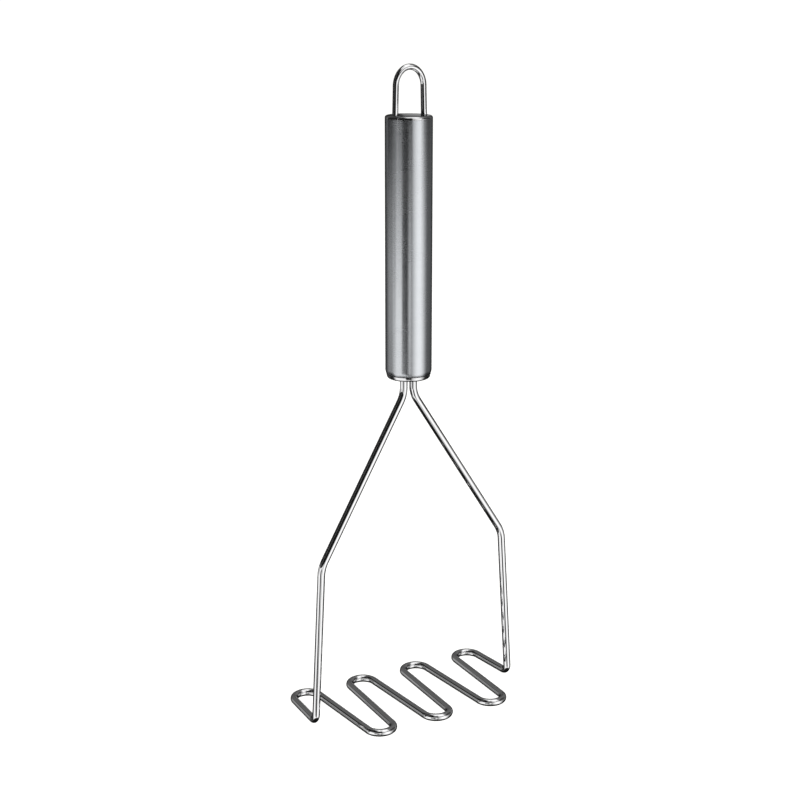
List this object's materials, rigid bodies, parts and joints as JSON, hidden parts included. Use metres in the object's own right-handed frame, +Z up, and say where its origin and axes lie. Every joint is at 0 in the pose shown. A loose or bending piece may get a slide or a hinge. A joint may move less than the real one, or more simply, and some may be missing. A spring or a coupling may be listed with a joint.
{
  "type": "potato masher",
  "caption": "Hand masher with a tube handle, a hanging loop, and bent wire that forms splayed legs and a flat serpentine foot for crushing cooked potatoes.",
  "frame": {"origin": "on the surface that the foot stands on, under the middle of the serpentine", "axes": "+Z up along the handle, X from leg to leg, -Y towards the front, the side with fewer bends of the serpentine"},
  "size_m": [0.099, 0.0532, 0.2678],
  "materials": {
    "satin_steel": "satin stainless steel, grain around the handle",
    "polished_steel": "polished stainless steel",
    "bright_wire": "bright polished round wire",
    "weld_steel": "dull weld bead, hidden inside the handle"
  },
  "bodies": {
    "root": {"handle_tube": "satin_steel", "upper_end_cap": "polished_steel", "lower_end_cap": "polished_steel", "hanging_loop": "bright_wire", "masher_wire": "bright_wire", "leg_weld": "weld_steel", "loop_weld_left": "weld_steel", "loop_weld_right": "weld_steel"}
  },
  "joints": []
}
